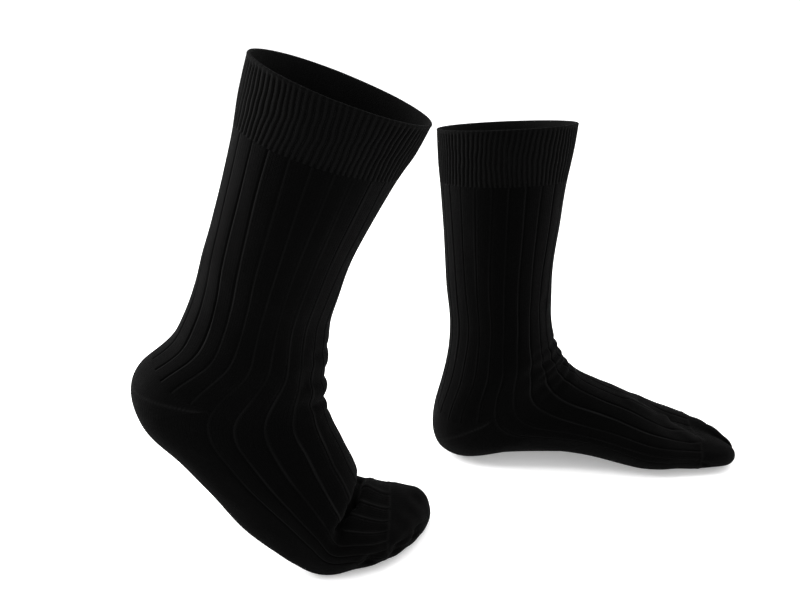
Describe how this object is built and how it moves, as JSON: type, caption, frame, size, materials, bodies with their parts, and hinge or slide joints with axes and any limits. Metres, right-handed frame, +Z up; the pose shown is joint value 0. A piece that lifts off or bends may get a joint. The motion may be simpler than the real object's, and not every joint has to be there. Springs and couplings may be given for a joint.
{
  "type": "pair of socks",
  "caption": "Pair of black ribbed dress socks, filled out and hollow, one standing flat and one with its heel raised, each with a fine rib cuff, heel pocket and toe cap.",
  "frame": {"origin": "on the floor, under the middle of the box round the pair", "axes": "+X the way the toes point, +Y from the right sock towards the left sock, +Z up"},
  "size_m": [0.4786, 0.2735, 0.3637],
  "materials": {
    "fine_rib_knit": "black cotton knit in a fine one by one rib",
    "wide_rib_knit": "black cotton knit in a wide six by one rib",
    "plain_knit": "black plain cotton knit, close and matt"
  },
  "bodies": {
    "root": {"left_cuff": "fine_rib_knit", "left_leg_and_foot": "wide_rib_knit", "left_heel": "plain_knit", "left_toe": "plain_knit", "right_cuff": "fine_rib_knit", "right_leg_and_foot": "wide_rib_knit", "right_heel": "plain_knit", "right_toe": "plain_knit"}
  },
  "joints": []
}
